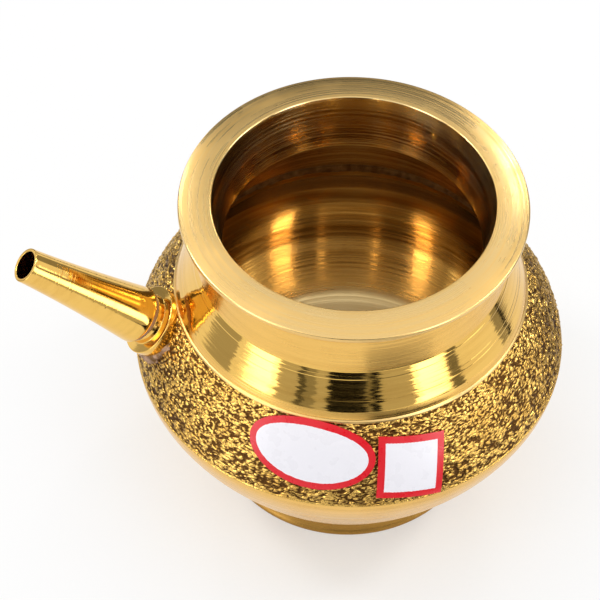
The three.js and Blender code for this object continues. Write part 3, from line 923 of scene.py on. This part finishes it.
class KARWA_OT_lower_shell(Operator):
    """Make the bowl with its lip inside the band"""

    bl_idname = "karwa.lower_shell"
    bl_label = "Lower Shell"

    def execute(self, context):
        pot, line = pot_of(context)
        lip_outer = pot.shell_wall + 0.05 * MM
        lip_inner = pot.shell_wall + 0.3 * MM + pot.lip_wall
        lip_bevel = 0.35 * MM
        floor_start = 0.82
        wall_end = in_wall(line.bowl, floor_start, pot.bowl_wall)
        along = cubic_at(line.bowl, floor_start)[1]
        reach = (wall_end.y - line.floor_z) / -along.y
        turn = Vector((wall_end.x + along.x * reach, line.floor_z))
        centre = Vector((0, line.floor_z))
        handles = wall_end.lerp(turn, 2 / 3), centre.lerp(turn, 2 / 3)
        floor = interpolate_bezier(wall_end, *handles, centre, 40)
        register = line.foot_inner_radius - 0.05 * MM
        section = [
            Vector((0, pot.foot_height - pot.register_depth)),
            Vector((register, pot.foot_height - pot.register_depth)),
            Vector((register, pot.foot_height)),
            *wall_line(line.bowl, 70, 1, 0, 0),
            *wall_line(line.band, 20, 1, line.lap_start, lip_outer),
            in_wall(line.band, line.lap_start, lip_outer + lip_bevel),
            *wall_line(line.band, 20, line.lap_start + 0.09, 1, lip_inner),
            *wall_line(line.bowl, 60, 0.08, floor_start, lip_inner, pot.bowl_wall),
            *floor[1:],
        ]
        bm = spun(section, POT_SIDES, closed=False)
        wall = pot.bowl_wall / 2
        outer = [cubic_at(line.bowl, i / 40)[0] for i in range(41)]

        def inner(centre):
            if centre.z > line.belly_z:
                return True
            below = (point.x for point in outer if point.y <= centre.z)
            reach = next(below, line.bowl_foot_radius)
            radius = math.hypot(centre.x, centre.y)
            return centre.z > line.floor_z - wall and radius < reach - wall

        brasses = ("neck_brass", "inner_brass")
        paint(bm, inner, brasses.index("inner_brass"))
        piece = finished("lower_shell_turned", bm, POT_PLACE, "root", brasses)
        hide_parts("lower_shell")
        drilled(piece, *spout_of(context))
        return {"FINISHED"}


class KARWA_OT_seam_braze(Operator):
    """Make the uneven bead of braze at the lip inside the pot"""

    bl_idname = "karwa.seam_braze"
    bl_label = "Seam Braze"

    def execute(self, context):
        pot, line = pot_of(context)
        wall = pot.shell_wall - 0.1 * MM
        bm = spun([
            in_wall(line.band, line.lap_start, wall + out * MM, up * MM) for out, up in SEAM_BEAD
        ], SEAM_SIDES)
        for vert in bm.verts:
            push = noise.fractal(vert.co / (1.8 * MM), 0.8, 2.2, 3) * 0.3 * MM
            vert.co.z += push
            vert.co.xy *= 1 + push * 6
        piece = finished(
            "seam_braze_bead", bm, POT_PLACE, "root", ("seam_filler_and_shade",)
        )
        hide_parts("seam_braze")
        return {"FINISHED"}


class KARWA_OT_foot_ring(Operator):
    """Make the turned foot ring"""

    bl_idname = "karwa.foot_ring"
    bl_label = "Foot Ring"

    def execute(self, context):
        pot, line = pot_of(context)
        bm = spun(rounded([
            (line.foot_inner_radius, 0, 0.5 * MM),
            (line.foot_radius, 0, 0.5 * MM),
            (line.foot_radius, 0.9 * MM, 0.4 * MM),
            (line.foot_radius - pot.foot_waist, pot.foot_height * 0.5, 1.4 * MM),
            (line.foot_radius - pot.foot_waist / 2, pot.foot_height, 0.3 * MM),
            (line.foot_inner_radius, pot.foot_height, 0.2 * MM),
        ]), POT_SIDES)
        piece = finished(
            "foot_ring_turned", bm, POT_PLACE, "root", ("foot_shaded_brass",)
        )
        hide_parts("foot_ring")
        return {"FINISHED"}


class KARWA_OT_spout_collar(Operator):
    """Make the collar with its flange, barrel, screw stub and tail"""

    bl_idname = "karwa.spout_collar"
    bl_label = "Spout Collar"

    def execute(self, context):
        spout, seat = spout_of(context)
        barrel_end = spout.flange_thickness + spout.barrel_length
        stub_end = barrel_end + spout.stub_length
        root_radius = spout.stub_radius - spout.thread_depth
        bm = spun(rounded([
            (spout.waterway_radius, -spout.tail_length, 0.2 * MM),
            (spout.tail_radius, -spout.tail_length, 0.3 * MM),
            (spout.tail_radius, -3 * MM, 0),
            (spout.flange_radius, -0.4 * MM, 0.2 * MM),
            (spout.flange_radius, spout.flange_thickness, 0.3 * MM),
            (spout.barrel_radius, spout.flange_thickness, 0.35 * MM),
            (spout.barrel_radius, barrel_end, 0.15 * MM),
            (root_radius, barrel_end, 0.1 * MM),
            (root_radius, stub_end, 0.3 * MM),
            (spout.waterway_radius, stub_end, 0.2 * MM),
        ]), COLLAR_SIDES)
        finish = ("spout_brass",)
        piece = finished("spout_collar_turned", bm, seat, "root", finish)
        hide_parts("spout_collar")
        bm = self.thread(spout, root_radius, barrel_end + 0.9 * MM, stub_end - 0.8 * MM)
        thread = finished("spout_collar_thread", bm, seat, "root", finish)
        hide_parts("spout_collar")
        return {"FINISHED"}

    def thread(self, spout, root_radius, start, end):
        """One right-hand thread, wound round the stub from start to end."""
        turns = (end - start) / spout.thread_pitch
        steps = 48
        half = spout.thread_pitch * 0.42
        crest = spout.thread_pitch * 0.09
        sunk = root_radius - 0.1 * MM
        corners = (
            (sunk, -half), (spout.stub_radius, -crest), (spout.stub_radius, crest), (sunk, half)
        )
        bm = bmesh.new()
        face = bm.faces.new([
            bm.verts.new((radius, 0, start + height)) for radius, height in corners
        ])
        wound(bm, [face], math.tau * turns, int(steps * turns), spout.thread_pitch / steps)
        bmesh.ops.recalc_face_normals(bm, faces=bm.faces)
        return bm


class KARWA_OT_collar_braze(Operator):
    """Make the lumpy braze that fills the wedge behind the collar's flange"""

    bl_idname = "karwa.collar_braze"
    bl_label = "Collar Braze"

    def execute(self, context):
        spout, seat = spout_of(context)
        bore = spout.tail_radius + spout.gap
        depth = -5.2 * MM
        bm = spun(rounded([
            (bore, depth, 0),
            (spout.flange_radius + 2.2 * MM, depth, 0.8 * MM),
            (spout.flange_radius + 0.9 * MM, -1.4 * MM, 0.8 * MM),
            (spout.flange_radius - 0.2 * MM, 0.1 * MM, 0.3 * MM),
            (bore, 0, 0),
        ], 8), SPOUT_SIDES)
        shift = Vector((3, 1, 5))
        for vert in bm.verts:
            push = noise.fractal(vert.co / (2.4 * MM) + shift, 0.7, 2.1, 4) * 0.5 * MM
            vert.co.xy *= 1 + push / spout.flange_radius
            vert.co.z += min(0.0, push)
        piece = finished(
            "collar_braze_skirt", bm, seat, "root", ("seat_residue",)
        )
        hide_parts("collar_braze")
        return {"FINISHED"}


class KARWA_OT_sealing_washer(Operator):
    """Make the sealing washer"""

    bl_idname = "karwa.sealing_washer"
    bl_label = "Sealing Washer"

    def execute(self, context):
        spout, seat = spout_of(context)
        start = spout.flange_thickness + spout.barrel_length + spout.gap / 6
        end = start + spout.washer_thickness + spout.gap * 1.6
        inner = spout.stub_radius + spout.gap
        outer = spout.barrel_radius + 0.05 * MM
        bm = spun(rounded([
            (inner, start, 0.1 * MM),
            (outer, start, 0.2 * MM),
            (outer, end, 0.2 * MM),
            (inner, end, 0.1 * MM),
        ]), COLLAR_SIDES)
        piece = finished(
            "sealing_washer_ring", bm, seat, "washer", ("washer_leather",)
        )
        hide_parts("sealing_washer")
        return {"FINISHED"}


class KARWA_OT_spout(Operator):
    """Make the tapered spout with its socket and open tip"""

    bl_idname = "karwa.spout"
    bl_label = "Spout"

    def execute(self, context):
        spout, seat = spout_of(context)
        barrel_end = spout.flange_thickness + spout.barrel_length
        base = barrel_end + spout.gap + spout.washer_thickness + spout.gap
        tip = base + spout.spout_length
        socket_end = barrel_end + spout.stub_length + spout.socket_relief
        socket = spout.stub_radius + spout.gap
        round_start = base + spout.base_round
        hollow = (spout.base_radius + spout.tip_radius) / 2 - spout.bow
        middle = Vector((hollow, (round_start + tip) / 2))
        start = Vector((spout.base_radius, round_start))
        end = Vector((spout.tip_radius, tip - 0.3 * MM))
        handles = start.lerp(middle, 2 / 3), end.lerp(middle, 2 / 3)
        taper = interpolate_bezier(start, *handles, end, 40)
        bm = spun(rounded([
            (socket, base, 0),
            (spout.base_radius, base, spout.base_round),
            *plain(taper[1:-1]),
            (spout.tip_radius, tip, 0.22 * MM),
            (spout.tip_radius - spout.tip_wall, tip, 0.2 * MM),
            (socket - spout.tip_wall, socket_end + spout.tip_wall, 0),
            (socket, socket_end, 0),
        ], 7), SPOUT_SIDES)
        piece = finished("spout_turned", bm, seat, "spout", ("spout_brass",))
        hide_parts("spout")
        return {"FINISHED"}


def laid_on_band(bm, line, turn, tilt, drop, labels):
    """Gives a flat sheet its thickness and lays it on the band, centred at a turn and a drop."""
    front = bmesh.ops.extrude_face_region(bm, geom=bm.faces[:])["geom"]
    bmesh.ops.translate(bm, vec=(0, 0, labels.thickness), verts=verts_of(front))
    samples = []
    distance = 0.0
    for curve in (line.band, line.bowl):
        for i in range(201):
            point, along = cubic_at(curve, i / 200)
            if samples:
                distance += (point - samples[-1][1]).length
            samples.append((distance, point, along))
    for vert in bm.verts:
        x, y = vert.co.x, vert.co.y
        across = x * math.cos(tilt) + y * math.sin(tilt)
        down = drop - (y * math.cos(tilt) - x * math.sin(tilt))
        point, along = next(
            after[1:] for before, after in zip(samples, samples[1:])
            if before[0] <= down <= after[0]
        )
        off = labels.stand_off + vert.co.z
        radius = point.x - along.y * off
        height = point.y + along.x * off
        round_pot = turn + across / point.x
        vert.co = (radius * math.cos(round_pot), radius * math.sin(round_pot), height)
    bmesh.ops.recalc_face_normals(bm, faces=bm.faces)


class KARWA_OT_labels(Operator):
    """Make the square and the oval label, with bare faces"""

    bl_idname = "karwa.labels"
    bl_label = "Labels"

    def execute(self, context):
        labels = context.scene.karwa_labels
        line = Outline(context.scene.karwa_pot)
        papers = ("label_white", "label_red")
        red = papers.index("label_red")

        half = labels.square_side / 2
        face = half - labels.border
        bm = bmesh.new()
        bmesh.ops.create_grid(bm, x_segments=38, y_segments=38, size=half)
        paint(bm, lambda centre: max(abs(centre.x), abs(centre.y)) > face, red)
        laid_on_band(bm, line, labels.square_turn, labels.square_tilt, labels.drop, labels)
        square = finished("square_label_sheet", bm, POT_PLACE, "root", papers)
        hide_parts("square_label")

        length_half, height_half = labels.oval_length / 2, labels.oval_height / 2
        inner = 0.85
        bm = spun([(i / 20, 0) for i in range(21)], SPOUT_SIDES, closed=False)
        paint(bm, lambda centre: math.hypot(centre.x, centre.y) > inner, red)
        for vert in bm.verts:
            ring = math.hypot(vert.co.x, vert.co.y)
            if ring > 1e-9:
                inward = labels.border * min(1.0, (1 - ring) / (1 - inner))
                size = min(1.0, ring / inner)
                vert.co.x *= (length_half - inward) * size / ring
                vert.co.y *= (height_half - inward) * size / ring
        drop = labels.drop - labels.oval_lift
        laid_on_band(bm, line, labels.oval_turn, labels.oval_tilt, drop, labels)
        oval = finished("oval_label_sheet", bm, POT_PLACE, "root", papers)
        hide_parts("oval_label")
        return {"FINISHED"}


def glow(name, brightness):
    """A plain shining surface for a card."""
    finish = Finish(name)
    finish.tree.nodes.remove(finish.shader)
    finish.show(finish.emission(brightness))
    return finish.material


def seen(tree):
    """Is 1 for what the camera sees straight, mirrored or through glass, else 0."""
    path = tree.nodes.new("ShaderNodeLightPath")
    last = path.outputs["Is Camera Ray"]
    for name in ("Is Glossy Ray", "Is Transmission Ray"):
        both = tree.nodes.new("ShaderNodeMath")
        both.operation = "MAXIMUM"
        tree.links.new(last, both.inputs[0])
        tree.links.new(path.outputs[name], both.inputs[1])
        last = both.outputs[0]
    return last


class KARWA_OT_stage(Operator):
    """Make the floor, the lights, the world and the camera"""

    bl_idname = "karwa.stage"
    bl_label = "Stage"

    def execute(self, context):
        scene = context.scene
        scene.view_settings.view_transform = "Standard"
        self.floor(scene)
        self.world(scene)
        self.soft_boxes(scene)
        self.cards()
        self.camera(scene)
        return {"FINISHED"}

    def sheet(self, name, bm, material):
        """A flat sheet of the stage."""
        piece = linked(name, bm)
        piece.data.materials.append(material)
        return piece

    def floor(self, scene):
        """A wide white floor that keeps the pot's shadow."""
        finish = Finish("studio_floor")
        centred = finish.centred(POT_PLACE)
        grain = finish.noise(centred, 900)
        finish.join(finish.mixed(grain, (0.84, 0.84, 0.84), (0.88, 0.88, 0.88)), "Base Color")
        finish.shader.inputs["Roughness"].default_value = 0.9
        finish.shader.inputs["Specular IOR Level"].default_value = 0.1
        studio = scene.karwa_studio
        reach = finish.reach(finish.flat(centred))
        clear = finish.spread(reach, 34 * MM, 110 * MM, studio.floor_shade, studio.floor_glow)
        share = finish.number("MULTIPLY", seen(finish.tree), clear)
        inputs = {0: share, 1: finish.shader.outputs[0], 2: finish.emission(1.0)}
        finish.show(finish.node("ShaderNodeMixShader", inputs).outputs[0])
        bm = bmesh.new()
        bmesh.ops.create_grid(bm, x_segments=1, y_segments=1, size=6)
        self.sheet("studio_floor", bm, finish.material)

    def world(self, scene):
        """Even room light, seen as a plain white backdrop."""
        world = bpy.data.worlds.new("studio")
        scene.world = world
        world.use_nodes = True
        tree = world.node_tree
        room = tree.nodes["Background"]
        room.inputs["Color"].default_value = (1, 1, 1, 1)
        room.inputs["Strength"].default_value = scene.karwa_studio.room
        white = tree.nodes.new("ShaderNodeBackground")
        white.inputs["Color"].default_value = (1, 1, 1, 1)
        mix = tree.nodes.new("ShaderNodeMixShader")
        tree.links.new(seen(tree), mix.inputs[0])
        tree.links.new(room.outputs[0], mix.inputs[1])
        tree.links.new(white.outputs[0], mix.inputs[2])
        tree.links.new(mix.outputs[0], tree.nodes["World Output"].inputs["Surface"])

    def upright(self, distance, turn_from, turn_to, rise_from, rise_to):
        """Width, height and place of an upright sheet that fills a span of directions."""
        half = math.radians(turn_to - turn_from) / 2
        middle = math.radians(turn_from + turn_to) / 2
        low = distance * math.tan(math.radians(rise_from))
        high = distance * math.tan(math.radians(rise_to))
        out = Vector((math.cos(middle), math.sin(middle), 0))
        turned = (-out).to_track_quat("Z", "Y").to_matrix().to_4x4()
        place = Matrix.Translation(POT_AXIS + out * distance + Vector((0, 0, (low + high) / 2)))
        return 2 * distance * math.tan(half), high - low, place @ turned

    def soft_boxes(self, scene):
        """The soft boxes that light the pot."""
        for name, turn_from, turn_to, rise_from, rise_to, brightness in SOFT_BOXES:
            width, height, place = self.upright(
                scene.karwa_studio.lamp_distance, turn_from, turn_to, rise_from, rise_to
            )
            lamp = bpy.data.lights.new(name, "AREA")
            lamp.shape = "RECTANGLE"
            lamp.size, lamp.size_y = width, height
            lamp.energy = brightness * math.pi * width * height
            box = bpy.data.objects.new(name, lamp)
            box.matrix_world = place @ Matrix.Rotation(math.pi, 4, "Y")
            box.visible_camera = False
            scene.collection.objects.link(box)

    def cards(self):
        """Bright, grey and black cards, as a photographer sets round polished metal."""
        for name, distance, turn_from, turn_to, rise_from, rise_to, brightness in CARDS:
            width, height, place = self.upright(
                distance * MM, turn_from, turn_to, rise_from, rise_to
            )
            bm = bmesh.new()
            place = place @ Matrix.Diagonal((width, height, 1, 1))
            bmesh.ops.create_grid(bm, x_segments=1, y_segments=1, size=0.5, matrix=place)
            card = self.sheet(name, bm, glow(name, brightness))
            card.visible_camera = False
            card.visible_diffuse = False
            card.visible_shadow = False

    def camera(self, scene):
        """The photograph's own viewpoint, fitted to the rim and the outline."""
        turn, rise, roll = map(math.radians, (CAMERA_TURN, CAMERA_RISE, CAMERA_ROLL))
        across = Vector((math.cos(turn), math.sin(turn), 0))
        back = Vector((
            math.sin(turn) * math.cos(rise), -math.cos(turn) * math.cos(rise), math.sin(rise)
        ))
        up = back.cross(across)
        right = across * math.cos(roll) - up * math.sin(roll)
        up = up * math.cos(roll) + across * math.sin(roll)
        rim = POT_AXIS + Vector((0, 0, Outline(scene.karwa_pot).rim_edge_z))
        lens = bpy.data.cameras.new("camera")
        lens.sensor_width = SENSOR
        lens.lens = LENS
        lens.clip_start = CLIP_START
        camera = bpy.data.objects.new("camera", lens)
        place = rim - right * (CAMERA_LEFT * MM) - up * (CAMERA_DOWN * MM)
        place += back * (CAMERA_BACK * MM)
        camera.matrix_world = Matrix((
            (right.x, up.x, back.x, place.x),
            (right.y, up.y, back.y, place.y),
            (right.z, up.z, back.z, place.z),
            (0, 0, 0, 1),
        ))
        scene.collection.objects.link(camera)
        scene.camera = camera


OPERATORS = (
    KARWA_OT_finishes,
    KARWA_OT_upper_shell,
    KARWA_OT_bark_band,
    KARWA_OT_lower_shell,
    KARWA_OT_seam_braze,
    KARWA_OT_foot_ring,
    KARWA_OT_spout_collar,
    KARWA_OT_collar_braze,
    KARWA_OT_sealing_washer,
    KARWA_OT_spout,
    KARWA_OT_labels,
    KARWA_OT_stage,
)
GROUPS = {
    "karwa_pot": PotSizes,
    "karwa_bark": BarkSizes,
    "karwa_spout": SpoutSizes,
    "karwa_labels": LabelSizes,
    "karwa_finishes": Finishes,
    "karwa_studio": StudioSizes,
}


class KARWA_PT_panel(Panel):
    """Lists the pieces in the 3D view's sidebar"""

    bl_idname = "KARWA_PT_panel"
    bl_label = "Karwa Pot"
    bl_space_type = "VIEW_3D"
    bl_region_type = "UI"
    bl_category = "Karwa Pot"

    def draw(self, context):
        for operator in OPERATORS:
            self.layout.operator(operator.bl_idname)
        for group in GROUPS:
            box = self.layout.box()
            values = getattr(context.scene, group)
            for name in values.__annotations__:
                box.prop(values, name)


def register():
    for group in GROUPS.values():
        bpy.utils.register_class(group)
    for name, group in GROUPS.items():
        setattr(bpy.types.Scene, name, PointerProperty(type=group))
    for operator in OPERATORS:
        bpy.utils.register_class(operator)
    bpy.utils.register_class(KARWA_PT_panel)


def unregister():
    bpy.utils.unregister_class(KARWA_PT_panel)
    for operator in reversed(OPERATORS):
        bpy.utils.unregister_class(operator)
    for name in GROUPS:
        delattr(bpy.types.Scene, name)
    for group in reversed(GROUPS.values()):
        bpy.utils.unregister_class(group)


def main():
    """Makes every piece in order."""
    register()
    bpy.ops.karwa.finishes()
    bpy.ops.karwa.upper_shell()
    bpy.ops.karwa.bark_band()
    bpy.ops.karwa.lower_shell()
    bpy.ops.karwa.seam_braze()
    bpy.ops.karwa.foot_ring()
    bpy.ops.karwa.spout_collar()
    bpy.ops.karwa.collar_braze()
    bpy.ops.karwa.sealing_washer()
    bpy.ops.karwa.spout()
    bpy.ops.karwa.labels()
    bpy.ops.karwa.stage()


if __name__ == "__main__":
    main()
